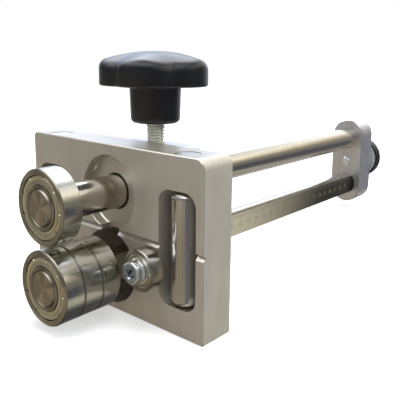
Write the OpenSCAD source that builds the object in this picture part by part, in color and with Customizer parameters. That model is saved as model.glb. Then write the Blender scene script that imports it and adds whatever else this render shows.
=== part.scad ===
// Sheet metal edge bender, a hand tool that is drawn along the edge of a sheet.
// The edge of the sheet goes between one upper bearing and three lower bearings,
// and the fence block behind them sets how wide the bent flange becomes.
// X runs across the tool, Y from the bearings to the rear plate, and Z is up.
// The origin is the centre of the fence block's underside.

/* [Fence block] */
// Width of the fence block
block_w = 148; // [146:1:170]
// Height of the fence block
block_h = 100; // [98:1:116]
// Thickness of the fence block
block_t = 23; // [21:0.5:28]
// Height of the pinch plane, midway between the bearings, above the underside
pinch_h = 48.5; // [47.5:0.5:51]
// Radius of the top corner on the ruler's side
corner_right_r = 6; // [2:0.5:9]
// Radius of the top corner on the other side
corner_left_r = 3; // [1:0.5:9]
// Radius of the two lower corners
corner_low_r = 1; // [0.8:0.1:3]
// Edge break round the front and back of the block
edge_c = 0.5; // [0.3:0.1:0.8]
// Height of the V groove at the front face
groove_h = 3.6; // [2:0.2:5]
// Depth of the V groove
groove_depth = 1.8; // [1:0.2:3]

/* [Bearing recesses] */
// Diameter of the two recesses that the bearings draw back into
recess_d = 44.5; // [43.5:0.1:44.8]
// Depth of the upper recess
recess_depth = 6.5; // [6:0.5:11]
// Bevel round the floor of the upper recess
recess_floor_c = 0.8; // [0.3:0.1:1.2]
// Depth of the lower recess behind the fence block
low_recess_back = 12; // [11.5:0.5:14]
// Hole for the upper rod in the recess floor
rod_hole_d = 22; // [21:0.5:24]
// Width of the opening between the two recesses
web_gap_w = 15; // [14:0.5:18]
// Edge break round the recesses
recess_c = 0.4; // [0.2:0.1:0.6]

/* [Fence rollers] */
// Distance of each roller's axis from the middle of the block
roller_x = 55; // [53:0.5:56]
// Distance of each roller's axis behind the front face
roller_back = 8; // [7.6:0.1:8.3]
// Roller diameter
roller_d = 17; // [16.8:0.1:17.6]
// Gap between the upper end of a roller and the slot
roller_gap = 1; // [0.5:0.1:12]
// Rounding of the roller's ends
roller_end_r = 3.8; // [0.5:0.1:4.2]
// Axle diameter
axle_d = 8; // [5:0.5:9]
// Width of the slot that holds a roller
slot_w = 27; // [20:0.5:27.5]
// Height of the slot
slot_h = 65; // [62:0.5:66]
// Radius of the slot's corners
slot_r = 8; // [4:0.5:9]
// Depth of the slot
slot_depth = 17.4; // [17.2:0.1:18.5]
// Diameter of the cap over the axle
cap_d = 15; // [11:0.5:15.4]
// Thickness of the cap
cap_t = 4.8; // [3:0.2:6]
// How far the cap lies below the top of the block
cap_sunk = 1.2; // [0.5:0.1:2]

/* [Guide block] */
// Width of the guide block behind the fence block
guide_w = 61; // [56:0.5:62]
// Thickness of the guide block
guide_t = 26; // [25:0.5:34]
// How far its top lies below the top of the fence block
guide_top_drop = 3.5; // [2:0.5:5]
// How far its underside lies above that of the fence block
guide_low_rise = 4.5; // [0.5:0.5:5]
// Radius of its corners
guide_r = 5; // [2:0.5:7]
// Outside diameter of the rod bushes
bush_d = 24; // [23:0.5:26]
// Thread diameter of the four screws
screw_d = 6; // [4:0.5:6]
// Distance of the screws from the middle of the guide block
screw_x = 21.5; // [21:0.5:22]
// Distance of the screws from the top and the underside of the guide block
screw_edge = 8; // [7.5:0.5:8]

/* [Rods] */
// Rod diameter
rod_d = 20; // [19.4:0.1:20]
// Rod length
rod_len = 373.5; // [200:0.5:460]
// How far the bearings' front faces stand in front of the fence block
reach = 46; // [44:1:46]
// Gap between the rims of the upper and the lower bearings
pinch_gap = 3; // [3:0.1:3.6]
// Depth of the flat on the lower rod, which carries the ruler
flat_depth = 4; // [2:0.5:5]

/* [Bearings] */
// Outside diameter of the four large bearings
bearing_od = 42; // [41.6:0.1:42]
// Width of a large bearing
bearing_w = 12; // [11.5:0.1:12]
// Ball diameter of a large bearing
ball_d = 6.35; // [5.6:0.05:6.4]
// Number of balls in a large bearing
ball_n = 9; // [6:1:9]

/* [Guide bearing] */
// Distance of the guide bearing from the middle of the block
guide_bearing_x = 35; // [34:0.5:36]
// Distance of its axis below the pinch plane
guide_bearing_drop = 13.7; // [12:0.1:16]
// Its bore, which is also the screw's diameter
guide_bearing_bore = 8; // [7.6:0.1:8]
// Its outside diameter
guide_bearing_od = 24; // [23.6:0.1:24.4]
// Its width
guide_bearing_w = 8; // [7.4:0.1:9]
// Its ball diameter
guide_ball_d = 3.97; // [3.6:0.01:4]
// Its number of balls
guide_ball_n = 7; // [5:1:8]
// Diameter of the screw's head
guide_head_d = 13; // [12:0.5:14]
// Height of the screw's head
guide_head_h = 3.4; // [3:0.1:6]

/* [Clamp] */
// Thread diameter of the clamp stud
stud_d = 12; // [10:0.5:12]
// Distance of the stud's axis behind the fence block
stud_back = 16.3; // [16:0.1:17]
// Bare length of the stud between the guide block and the knob
stud_bare = 12.6; // [10:0.1:20]
// Length of the stud inside the knob
stud_in_knob = 22; // [14:1:30]
// Clearance between the pad and the rod when the clamp is light
pad_gap = 0.3; // [0.25:0.05:0.4]
// Height of the brass pad
pad_h = 5; // [4:0.5:6]

/* [Star knob] */
// Diameter over the lobes
knob_d = 72; // [60:1:80]
// Number of lobes
lobe_n = 5; // [5:1:6]
// Radius of a lobe
lobe_r = 22.5; // [21.5:0.5:23.5]
// Radius of the valley between two lobes
valley_r = 3; // [2:0.5:4]
// Direction of the first lobe
lobe_turn = -60; // [-90:1:90]
// Height of the head
head_h = 21.6; // [18:0.2:26]
// Radius of the domed top
dome_r = 100; // [80:5:140]
// Rounding between the dome and the side
shoulder_r = 7; // [4:0.5:8]
// Rounding under the head
under_r = 1.5; // [0.5:0.1:2.5]
// Height of the hub
hub_h = 22.9; // [16:0.1:28]
// Diameter of the hub under the head
hub_top_d = 32.4; // [28:0.2:36]
// Diameter of the hub at its lower end
hub_low_d = 30; // [24:0.2:31]
// Rounding of the hub's lower end
hub_r = 3; // [1:0.5:5]

/* [Rear plate] */
// Width of the rear plate
plate_w = 31; // [30:0.5:40]
// Height of the rear plate
plate_h = 81.5; // [77:0.5:90]
// Thickness of the rear plate
plate_t = 22; // [12:0.5:30]
// Edge break of the rear plate
plate_c = 0.8; // [0.3:0.1:1.5]
// Thread diameter of the grub screws that hold the rods
grub_d = 5; // [3:0.5:6]

/* [Rear buffer] */
// Diameter of the rubber buffer
buffer_d = 40; // [34:0.5:50]
// Thickness of the rubber buffer
buffer_t = 11; // [8:0.5:20]
// Rounding of the buffer's rear edge
buffer_r = 2.5; // [0.5:0.5:4]
// Diameter of the steel disc in the buffer's front
disc_d = 37; // [20:0.5:37.5]
// Thickness of the steel disc
disc_t = 2.5; // [1.5:0.5:4]
// Thread diameter of the buffer's stud
buffer_stud_d = 8; // [6:0.5:10]
// Width across the flats of the buffer's nut
nut_af = 13; // [12.5:0.5:17]
// Thickness of the buffer's nut
nut_t = 4; // [3:0.5:8]
// How far the stud stands out of the plate's front
stud_out = 1.5; // [0.5:0.5:4]

/* [Hidden] */
$fn = 96;

// How far every cut runs past the face that it opens
over = 1;
// Number of straight steps in a rounded edge of a turned piece
steps = 8;
// Clearance round a piece that turns or slides in another
run_gap = 0.05;
// Clearance round a loose fitting screw or pin
loose_gap = 0.1;
// Clearance at the ends of a bore that holds a pin
end_gap = 0.2;

// Places along Y
front_y = -block_t / 2;
back_y = block_t / 2;
guide_back_y = back_y + guide_t;
bearing_y = front_y - reach;
// How far the rods stand out of the bearings
rod_proud = 0.5;
rod_front_y = bearing_y - rod_proud;
rod_back_y = rod_front_y + rod_len;
plate_y = rod_back_y - plate_t;

// Heights
rod_space = bearing_od + pinch_gap;
upper_z = pinch_h + rod_space / 2;
lower_z = pinch_h - rod_space / 2;
guide_top_z = block_h - guide_top_drop;
guide_low_z = guide_low_rise;
slot_low_z = pinch_h - slot_h / 2;
roller_low_gap = 0.3;
roller_low_z = slot_low_z + roller_low_gap;
roller_len = slot_h - roller_low_gap - roller_gap;

// The opening between the recesses is taller than the web that it removes
web_gap_h = 4;

// Bearing sections, as shares of the space between bore and rim
inner_land_share = 0.28;
outer_land_share = 0.655;
// Step in the inner ring's faces, which the shields reach into
inner_step_share = 0.22;
cage_share = 0.22;
// Width of a cage for each unit of ball diameter
cage_w_share = 1.28;
// Clearance between ball and race, and between ball and cage
race_gap = 0.1;
pocket_gap = 0.12;
// Edge break of a bearing ring
ring_c = 0.6;
// Shields: how far they lie in, their thickness, seat, step and inner clearance
shield_in = 0.45;
shield_t = 0.4;
shield_seat = 0.5;
shield_step = 0.2;
shield_rim = 1.1;
shield_gap = 0.3;
// Clearance between a shield and the step behind it
step_gap = 0.2;
// Shims that keep the lower bearings apart
shim_t = 0.3;
shim_rim = 2;

// Flat on the lower rod: it starts behind the lower bearings
flat_behind = 8;
flat_y = bearing_y + 3 * bearing_w + 2 * shim_t + flat_behind;
flat_x = rod_d / 2 - flat_depth;
rod_c = 0.7;

// Axles: depth of the blind end below the slot
axle_blind = 10;

// Screws of the guide block
screw_head_d = 1.7 * screw_d;
screw_head_sunk = 0.6;
screw_bite = 10;
screw_socket_share = 0.86;
screw_socket_depth_share = 0.5;

// Guide bearing stack, from the fence block outwards
guide_spacer_t = 1.5;
guide_spacer_d = 12;
guide_washer_t = 0.9;
guide_washer_d = 12.4;
guide_spring_t = 1.5;
guide_spring_d = 12;
guide_spring_cut = 1.2;
guide_spring_slant = 20;
guide_screw_bite = 13;
guide_head_r = 1;
guide_cross_w = 2;
guide_cross_len = 6.6;
guide_cross_depth = 2.2;
guide_z = pinch_h - guide_bearing_drop;
guide_y = front_y - guide_spacer_t - guide_bearing_w;

// Clamp
stud_y = back_y + stud_back;
pad_z = upper_z + rod_d / 2 + pad_gap;
pad_rim_gap = 0.25;
stud_low_z = pad_z + pad_h + run_gap;
hub_z = guide_top_z + stud_bare;
head_z = hub_z + hub_h;
knob_top_z = head_z + head_h;
stud_c = 1;

// Lobes of the knob: centre of a lobe, and of the round valley beside it
lobe_c = knob_d / 2 - lobe_r;
lobe_half = 180 / lobe_n;
valley_c = lobe_c * cos(lobe_half)
    + sqrt(pow(lobe_r + valley_r, 2) - pow(lobe_c * sin(lobe_half), 2));
valley_t_share = lobe_r / (lobe_r + valley_r);
// Height of the shoulder arc's centre, where it meets the dome and the side
dome_z = knob_top_z - dome_r;
shoulder_x = knob_d / 2 - shoulder_r;
shoulder_z = dome_z + sqrt(pow(dome_r - shoulder_r, 2) - pow(shoulder_x, 2));
shoulder_a = atan2(shoulder_z - dome_z, shoulder_x);

// Rear plate
grub_len = 4.6;
grub_sunk = 0.4;

function arc(c, r, a0, a1, n) =
    [for (i = [0:n]) c + r * [cos(a0 + (a1 - a0) * i / n), sin(a0 + (a1 - a0) * i / n)]];

// Turned piece along +Y: the points are radius and distance along the axis
module turned_y(pts) rotate([-90, 0, 0]) rotate_extrude() polygon(pts);

// Plain cylinder along +Y
module rod_y(d, len) rotate([-90, 0, 0]) cylinder(d = d, h = len);

// Ring or washer along +Y with broken outer edges
module washer_y(d, hole, t, c) turned_y([[hole / 2, 0], [d / 2 - c, 0], [d / 2, c],
    [d / 2, t - c], [d / 2 - c, t], [hole / 2, t]]);

// Tool that rounds one corner of a plate: its own origin is the corner arc's centre
module corner_cut(r, t, c) difference() {
    translate([0, -over, 0]) cube([r + over, t + 2 * over, r + over]);
    turned_y([[0, 0], [r - c, 0], [r, c], [r, t - c], [r - c, t], [0, t]]);
}

// Plate with broken edges at its front and back faces, standing on z = 0
module broken_plate(w, t, h, c) intersection() {
    translate([-w / 2, 0, 0]) cube([w, t, h]);
    translate([-w / 2 - over, 0, 0]) rotate([90, 0, 90]) linear_extrude(w + 2 * over)
        polygon([[0, c], [c, 0], [t - c, 0], [t, c], [t, h - c], [t - c, h], [c, h], [0, h - c]]);
    linear_extrude(h) polygon([[-w / 2, c], [c - w / 2, 0], [w / 2 - c, 0], [w / 2, c],
        [w / 2, t - c], [w / 2 - c, t], [c - w / 2, t], [-w / 2, t - c]]);
}

// Plate with broken edges and four corners of their own radius
module rounded_plate(w, t, h, c, low_left, low_right, top_left, top_right) difference() {
    broken_plate(w, t, h, c);
    translate([w / 2 - top_right, 0, h - top_right]) corner_cut(top_right, t, c);
    translate([w / 2 - low_right, 0, low_right]) mirror([0, 0, 1]) corner_cut(low_right, t, c);
    mirror([1, 0, 0]) {
        translate([w / 2 - top_left, 0, h - top_left]) corner_cut(top_left, t, c);
        translate([w / 2 - low_left, 0, low_left]) mirror([0, 0, 1]) corner_cut(low_left, t, c);
    }
}

// Slot outline with round corners, round its own middle
module slot_outline(w, h, r) union() {
    square([w - 2 * r, h], center = true);
    square([w, h - 2 * r], center = true);
    for (x = [-1, 1], y = [-1, 1]) translate([x * (w / 2 - r), y * (h / 2 - r)]) circle(r = r);
}

// Pocket, axle bore and cap seat for one fence roller
module roller_cuts() {
    translate([0, front_y + slot_depth, pinch_h]) rotate([90, 0, 0])
        linear_extrude(slot_depth + over) slot_outline(slot_w, slot_h, slot_r);
    translate([0, front_y + roller_back, slot_low_z - axle_blind])
        cylinder(d = axle_d, h = block_h - slot_low_z + axle_blind);
    translate([0, front_y + roller_back, block_h - cap_t - cap_sunk])
        cylinder(d = cap_d, h = cap_t + cap_sunk + over);
}

// Places of the four screws of the guide block
module at_screws() {
    for (x = [-1, 1], z = [guide_low_z + screw_edge, guide_top_z - screw_edge])
        translate([x * screw_x, 0, z]) children();
}

module fence_block() color([0.62, 0.60, 0.57]) difference() {
    translate([0, front_y, 0]) rounded_plate(block_w, block_t, block_h, edge_c,
        corner_low_r, corner_low_r, corner_left_r, corner_right_r);
    // V groove at the height of the pinch plane
    translate([-block_w / 2 - over, front_y, pinch_h]) rotate([90, 0, 90])
        linear_extrude(block_w + 2 * over)
        polygon([[groove_depth, 0], [-over, groove_h / 2 * (groove_depth + over) / groove_depth],
            [-over, -groove_h / 2 * (groove_depth + over) / groove_depth]]);
    // Upper recess with the rod hole in its floor
    translate([0, front_y, upper_z]) turned_y([[0, -over], [recess_d / 2, -over],
        [recess_d / 2, recess_depth - recess_floor_c],
        [recess_d / 2 - recess_floor_c, recess_depth], [0, recess_depth]]);
    translate([0, front_y - over, upper_z]) rod_y(rod_hole_d, block_t + 2 * over);
    // Lower recess, right through the block
    translate([0, front_y - over, lower_z]) rod_y(recess_d, block_t + 2 * over);
    // Opening between the recesses
    translate([-web_gap_w / 2, front_y - over, pinch_h - web_gap_h / 2])
        cube([web_gap_w, recess_depth + over, web_gap_h]);
    for (z = [upper_z, lower_z]) translate([0, front_y, z])
        turned_y([[0, -over], [recess_d / 2 + recess_c + over, -over],
            [recess_d / 2 - over, recess_c + over], [0, recess_c + over]]);
    translate([roller_x, 0, 0]) roller_cuts();
    translate([-roller_x, 0, 0]) roller_cuts();
    // Threaded holes for the guide bearing's screw and for the guide block's screws
    translate([guide_bearing_x, front_y - over, guide_z])
        rod_y(guide_bearing_bore, guide_screw_bite + end_gap + over);
    at_screws() translate([0, back_y - screw_bite - end_gap, 0])
        rod_y(screw_d, screw_bite + end_gap + over);
}

module guide_block() color([0.64, 0.63, 0.61]) difference() {
    translate([0, back_y, guide_low_z]) rounded_plate(guide_w, guide_t,
        guide_top_z - guide_low_z, edge_c, guide_r, guide_r, guide_r, guide_r);
    for (z = [upper_z, lower_z]) translate([0, back_y - over, z])
        rod_y(bush_d, guide_t + 2 * over);
    translate([0, back_y - over, lower_z]) rod_y(recess_d, low_recess_back + over);
    translate([0, stud_y, upper_z]) cylinder(d = stud_d + 2 * loose_gap,
        h = guide_top_z - upper_z + over);
    at_screws() {
        translate([0, back_y - over, 0]) rod_y(screw_d + 2 * loose_gap, guide_t + 2 * over);
        translate([0, guide_back_y - screw_d - screw_head_sunk, 0])
            rod_y(screw_head_d + 2 * loose_gap, screw_d + screw_head_sunk + over);
    }
}

module guide_block_screws() color([0.24, 0.24, 0.25]) at_screws() difference() {
    union() {
        translate([0, guide_back_y - screw_d - screw_head_sunk, 0]) rod_y(screw_head_d, screw_d);
        translate([0, back_y - screw_bite, 0])
            rod_y(screw_d, guide_t + screw_bite - screw_head_sunk - screw_d / 2);
    }
    translate([0, guide_back_y - screw_head_sunk - screw_d * screw_socket_depth_share, 0])
        rotate([-90, 0, 0]) cylinder(d = screw_d * screw_socket_share, h = screw_d, $fn = 6);
}

module bush(len) washer_y(bush_d, rod_d + 2 * run_gap, len, edge_c);

module upper_rod_bush() color([0.55, 0.42, 0.22]) difference() {
    translate([0, back_y, upper_z]) bush(guide_t);
    translate([0, stud_y, upper_z]) cylinder(d = stud_d + 2 * loose_gap, h = bush_d);
}

module lower_rod_bush() color([0.55, 0.42, 0.22])
    translate([0, back_y + low_recess_back, lower_z]) bush(guide_t - low_recess_back);

// Roller with rounded ends and an axle bore
module roller() translate([0, front_y + roller_back, roller_low_z]) rotate_extrude()
    polygon(concat([[axle_d / 2 + loose_gap, 0]],
        arc([roller_d / 2 - roller_end_r, roller_end_r], roller_end_r, -90, 0, steps),
        arc([roller_d / 2 - roller_end_r, roller_len - roller_end_r], roller_end_r, 0, 90, steps),
        [[axle_d / 2 + loose_gap, roller_len]]));

module roller_axle() translate([0, front_y + roller_back, slot_low_z - axle_blind + end_gap])
    cylinder(d = axle_d, h = block_h - cap_t - cap_sunk - slot_low_z + axle_blind - end_gap);

module axle_cap() translate([0, front_y + roller_back, block_h - cap_t - cap_sunk])
    cylinder(d = cap_d, h = cap_t);

module right_roller() color([0.72, 0.72, 0.73]) translate([roller_x, 0, 0]) roller();
module left_roller() color([0.72, 0.72, 0.73]) translate([-roller_x, 0, 0]) roller();
module right_roller_axle() color([0.5, 0.5, 0.52]) translate([roller_x, 0, 0]) roller_axle();
module left_roller_axle() color([0.5, 0.5, 0.52]) translate([-roller_x, 0, 0]) roller_axle();
module right_axle_cap() color([0.6, 0.6, 0.58]) translate([roller_x, 0, 0]) axle_cap();
module left_axle_cap() color([0.6, 0.6, 0.58]) translate([-roller_x, 0, 0]) axle_cap();

// Radius at a share of the way from the bore to the rim of a bearing
function at_share(bore, od, share) = bore / 2 + share * (od - bore) / 2;

// Ring groove that the balls run in
module race(bore, od, w, ball) translate([0, w / 2, 0]) rotate([-90, 0, 0])
    rotate_extrude() translate([(bore + od) / 4, 0]) circle(r = ball / 2 + race_gap);

module inner_ring(bore, od, w, ball) {
    land = at_share(bore, od, inner_land_share);
    step = at_share(bore, od, inner_step_share);
    deep = shield_in + shield_t + step_gap;
    difference() {
        turned_y([[bore / 2, ring_c], [bore / 2 + ring_c, 0], [step, 0], [step, deep],
            [land, deep], [land, w - deep], [step, w - deep], [step, w],
            [bore / 2 + ring_c, w], [bore / 2, w - ring_c]]);
        race(bore, od, w, ball);
    }
}

module outer_ring(bore, od, w, ball) {
    land = at_share(bore, od, outer_land_share);
    seat = land + shield_seat;
    deep = shield_in + shield_step + shield_t;
    difference() {
        turned_y([[land, deep], [seat, deep], [seat, 0], [od / 2 - ring_c, 0], [od / 2, ring_c],
            [od / 2, w - ring_c], [od / 2 - ring_c, w], [seat, w], [seat, w - deep],
            [land, w - deep]]);
        race(bore, od, w, ball);
    }
}

// Pressed shield with a stepped rim
module shield(bore, od) {
    hole = at_share(bore, od, inner_step_share) + shield_gap;
    rim = at_share(bore, od, outer_land_share) + shield_seat;
    turned_y([[hole, shield_in], [rim - shield_rim, shield_in],
        [rim - shield_rim + shield_step, shield_in + shield_step], [rim, shield_in + shield_step],
        [rim, shield_in + shield_step + shield_t],
        [rim - shield_rim, shield_in + shield_step + shield_t],
        [rim - shield_rim - shield_step, shield_in + shield_t], [hole, shield_in + shield_t]]);
}

module shields(bore, od, w) {
    shield(bore, od);
    translate([0, w, 0]) mirror([0, 1, 0]) shield(bore, od);
}

// Places of the balls round a bearing
module at_balls(bore, od, w, n) for (i = [0:n - 1]) translate([0, w / 2, 0])
    rotate([0, i * 360 / n, 0]) translate([(bore + od) / 4, 0, 0]) children();

module balls(bore, od, w, ball, n) at_balls(bore, od, w, n) sphere(d = ball);

module cage(bore, od, w, ball, n) difference() {
    mid = (bore + od) / 4;
    half = cage_share * (od - bore) / 4;
    side = (w - cage_w_share * ball) / 2;
    turned_y([[mid - half, side], [mid + half, side], [mid + half, w - side],
        [mid - half, w - side]]);
    at_balls(bore, od, w, n) translate([-half - over, 0, 0]) rotate([0, 90, 0])
        cylinder(d = ball + 2 * pocket_gap, h = 2 * (half + over));
}

// Places of the four large bearings
module at_upper() translate([0, bearing_y, upper_z]) children();
module at_lower(k) translate([0, bearing_y + k * (bearing_w + shim_t), lower_z]) children();

module large_inner() color([0.55, 0.52, 0.48])
    inner_ring(rod_d, bearing_od, bearing_w, ball_d);
module large_outer() color([0.70, 0.70, 0.72])
    outer_ring(rod_d, bearing_od, bearing_w, ball_d);
module large_shields() color([0.66, 0.61, 0.46]) shields(rod_d, bearing_od, bearing_w);
module large_balls() color([0.8, 0.8, 0.82])
    balls(rod_d, bearing_od, bearing_w, ball_d, ball_n);
module large_cage() color([0.6, 0.58, 0.5])
    cage(rod_d, bearing_od, bearing_w, ball_d, ball_n);

module upper_bearing_inner() at_upper() large_inner();
module upper_bearing_outer() at_upper() large_outer();
module upper_bearing_shields() at_upper() large_shields();
module upper_bearing_balls() at_upper() large_balls();
module upper_bearing_cage() at_upper() large_cage();
module front_bearing_inner() at_lower(0) large_inner();
module front_bearing_outer() at_lower(0) large_outer();
module front_bearing_shields() at_lower(0) large_shields();
module front_bearing_balls() at_lower(0) large_balls();
module front_bearing_cage() at_lower(0) large_cage();
module middle_bearing_inner() at_lower(1) large_inner();
module middle_bearing_outer() at_lower(1) large_outer();
module middle_bearing_shields() at_lower(1) large_shields();
module middle_bearing_balls() at_lower(1) large_balls();
module middle_bearing_cage() at_lower(1) large_cage();
module rear_bearing_inner() at_lower(2) large_inner();
module rear_bearing_outer() at_lower(2) large_outer();
module rear_bearing_shields() at_lower(2) large_shields();
module rear_bearing_balls() at_lower(2) large_balls();
module rear_bearing_cage() at_lower(2) large_cage();

// Thin rings on the lower rod that keep the outer rings from rubbing
module bearing_shims() color([0.5, 0.5, 0.5]) for (k = [1, 2])
    translate([0, bearing_y + k * (bearing_w + shim_t) - shim_t, lower_z])
    turned_y([[rod_d / 2, 0], [rod_d / 2 + shim_rim, 0], [rod_d / 2 + shim_rim, shim_t],
        [rod_d / 2, shim_t]]);

module at_guide_bearing() translate([guide_bearing_x, guide_y, guide_z]) children();

module guide_bearing_inner() color([0.55, 0.52, 0.48]) at_guide_bearing()
    inner_ring(guide_bearing_bore, guide_bearing_od, guide_bearing_w, guide_ball_d);
module guide_bearing_outer() color([0.70, 0.70, 0.72]) at_guide_bearing()
    outer_ring(guide_bearing_bore, guide_bearing_od, guide_bearing_w, guide_ball_d);
module guide_bearing_shields() color([0.66, 0.61, 0.46]) at_guide_bearing()
    shields(guide_bearing_bore, guide_bearing_od, guide_bearing_w);
module guide_bearing_balls() color([0.8, 0.8, 0.82]) at_guide_bearing()
    balls(guide_bearing_bore, guide_bearing_od, guide_bearing_w, guide_ball_d, guide_ball_n);
module guide_bearing_cage() color([0.6, 0.58, 0.5]) at_guide_bearing()
    cage(guide_bearing_bore, guide_bearing_od, guide_bearing_w, guide_ball_d, guide_ball_n);

// Ring between the fence block and the guide bearing's inner ring
module guide_spacer() color([0.6, 0.6, 0.6]) translate([guide_bearing_x,
    front_y - guide_spacer_t, guide_z])
    turned_y([[guide_bearing_bore / 2, 0], [guide_spacer_d / 2, 0],
        [guide_spacer_d / 2, guide_spacer_t], [guide_bearing_bore / 2, guide_spacer_t]]);

module guide_washer() color([0.74, 0.76, 0.78])
    translate([guide_bearing_x, guide_y - guide_washer_t, guide_z])
    turned_y([[guide_bearing_bore / 2, 0], [guide_washer_d / 2, 0],
        [guide_washer_d / 2, guide_washer_t], [guide_bearing_bore / 2, guide_washer_t]]);

// Split ring under the screw's head
module guide_spring_washer() color([0.7, 0.72, 0.74])
    translate([guide_bearing_x, guide_y - guide_washer_t - guide_spring_t, guide_z])
    difference() {
        turned_y([[guide_bearing_bore / 2, 0], [guide_spring_d / 2, 0],
            [guide_spring_d / 2, guide_spring_t], [guide_bearing_bore / 2, guide_spring_t]]);
        translate([0, guide_spring_t / 2, 0]) rotate([0, 0, guide_spring_slant])
            translate([-guide_spring_cut / 2, -guide_spring_t, 0])
            cube([guide_spring_cut, 2 * guide_spring_t, guide_spring_d]);
    }

module guide_screw() color([0.72, 0.76, 0.8])
    translate([guide_bearing_x, guide_y - guide_washer_t - guide_spring_t - guide_head_h, guide_z])
    difference() {
        turned_y(concat([[0, 0]],
            arc([guide_head_d / 2 - guide_head_r, guide_head_r], guide_head_r, -90, 0, steps),
            [[guide_head_d / 2, guide_head_h], [guide_bearing_bore / 2, guide_head_h],
            [guide_bearing_bore / 2, front_y + guide_screw_bite - guide_y
                + guide_washer_t + guide_spring_t + guide_head_h],
            [0, front_y + guide_screw_bite - guide_y
                + guide_washer_t + guide_spring_t + guide_head_h]]));
        for (a = [0, 90]) rotate([0, a, 0])
            translate([-guide_cross_len / 2, -over, -guide_cross_w / 2])
            cube([guide_cross_len, guide_cross_depth + over, guide_cross_w]);
    }

module clamp_pad() color([0.72, 0.58, 0.30]) translate([0, stud_y, pad_z])
    cylinder(d = stud_d - 2 * pad_rim_gap, h = pad_h);

module clamp_stud() color([0.76, 0.76, 0.72]) translate([0, stud_y, 0]) rotate_extrude()
    polygon([[0, stud_low_z], [stud_d / 2 - stud_c, stud_low_z], [stud_d / 2, stud_low_z + stud_c],
        [stud_d / 2, hub_z + stud_in_knob], [0, hub_z + stud_in_knob]]);

// Outline of the knob's head: lobes joined by round valleys
module lobe_outline() difference() {
    union() {
        for (i = [0:lobe_n - 1]) rotate(i * 360 / lobe_n) translate([lobe_c, 0]) circle(r = lobe_r);
        for (i = [0:lobe_n - 1]) rotate(i * 360 / lobe_n + lobe_half)
            polygon([[0, 0],
                [lobe_c * cos(lobe_half) * (1 - valley_t_share) + valley_c * valley_t_share,
                    lobe_c * sin(lobe_half) * (1 - valley_t_share)],
                [valley_c, 0],
                [lobe_c * cos(lobe_half) * (1 - valley_t_share) + valley_c * valley_t_share,
                    -lobe_c * sin(lobe_half) * (1 - valley_t_share)]]);
    }
    for (i = [0:lobe_n - 1]) rotate(i * 360 / lobe_n + lobe_half)
        translate([valley_c, 0]) circle(r = valley_r);
}

module star_knob() color([0.05, 0.05, 0.06]) translate([0, stud_y, 0]) difference() {
    union() {
        intersection() {
            translate([0, 0, head_z]) linear_extrude(head_h) rotate(lobe_turn) lobe_outline();
            rotate_extrude() polygon(concat([[0, head_z]],
                arc([knob_d / 2 - under_r, head_z + under_r], under_r, -90, 0, steps),
                arc([shoulder_x, shoulder_z], shoulder_r, 0, shoulder_a, steps),
                arc([0, dome_z], dome_r, shoulder_a, 90, steps)));
        }
        rotate_extrude() polygon(concat([[0, hub_z]],
            arc([hub_low_d / 2 - hub_r, hub_z + hub_r], hub_r, -90, 0, steps),
            [[hub_top_d / 2, head_z + under_r], [0, head_z + under_r]]));
    }
    translate([0, 0, hub_z - over]) cylinder(d = stud_d, h = stud_in_knob + end_gap + over);
}

// Rod along Y with broken ends
module rod_bar() turned_y([[0, 0], [rod_d / 2 - rod_c, 0], [rod_d / 2, rod_c],
    [rod_d / 2, rod_len - rod_c], [rod_d / 2 - rod_c, rod_len], [0, rod_len]]);

module upper_rod() color([0.75, 0.75, 0.77]) translate([0, rod_front_y, upper_z]) rod_bar();

module lower_rod() color([0.75, 0.75, 0.77]) difference() {
    translate([0, rod_front_y, lower_z]) rod_bar();
    translate([flat_x, flat_y, lower_z - rod_d])
        cube([rod_d, rod_back_y - flat_y + over, 2 * rod_d]);
}

// Round end of the rear plate
module plate_end() turned_y([[0, 0], [plate_w / 2 - plate_c, 0], [plate_w / 2, plate_c],
    [plate_w / 2, plate_t - plate_c], [plate_w / 2 - plate_c, plate_t], [0, plate_t]]);

module rear_plate() color([0.66, 0.65, 0.64]) difference() {
    union() {
        for (s = [-1, 1]) translate([0, plate_y, pinch_h + s * (plate_h - plate_w) / 2]) plate_end();
        translate([0, plate_y, pinch_h - (plate_h - plate_w) / 2]) linear_extrude(plate_h - plate_w)
            polygon([[-plate_w / 2, plate_c], [plate_c - plate_w / 2, 0],
                [plate_w / 2 - plate_c, 0], [plate_w / 2, plate_c],
                [plate_w / 2, plate_t - plate_c], [plate_w / 2 - plate_c, plate_t],
                [plate_c - plate_w / 2, plate_t], [-plate_w / 2, plate_t - plate_c]]);
    }
    for (z = [upper_z, lower_z]) translate([0, plate_y - over, z]) rod_y(rod_d, plate_t + 2 * over);
    translate([0, plate_y - over, pinch_h]) rod_y(buffer_stud_d, plate_t + 2 * over);
    at_grubs() translate([0, 0, -over]) cylinder(d = grub_d, h = rod_d / 2 + over);
}

// Places of the grub screws, with Z pointing into the plate from its plain side
module at_grubs() for (z = [upper_z, lower_z])
    translate([-plate_w / 2, plate_y + plate_t / 2, z]) rotate([0, 90, 0]) children();

module rod_grub_screws() color([0.2, 0.2, 0.21]) at_grubs() difference() {
    translate([0, 0, plate_w / 2 - rod_d / 2 - grub_len - run_gap])
        cylinder(d = grub_d, h = grub_len);
    translate([0, 0, plate_w / 2 - rod_d / 2 - grub_len - run_gap - over])
        cylinder(d = grub_d / 2, h = grub_len / 2 + over, $fn = 6);
}

module buffer_stud() color([0.78, 0.78, 0.75]) translate([0, plate_y - stud_out, pinch_h])
    turned_y([[0, 0], [buffer_stud_d / 2 - stud_c, 0], [buffer_stud_d / 2, stud_c],
        [buffer_stud_d / 2, stud_out + plate_t + nut_t + disc_t],
        [0, stud_out + plate_t + nut_t + disc_t]]);

module buffer_nut() color([0.78, 0.79, 0.8]) translate([0, rod_back_y, pinch_h])
    rotate([-90, 0, 0]) difference() {
        cylinder(d = nut_af / cos(30), h = nut_t, $fn = 6);
        translate([0, 0, -over]) cylinder(d = buffer_stud_d, h = nut_t + 2 * over);
    }

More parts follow.
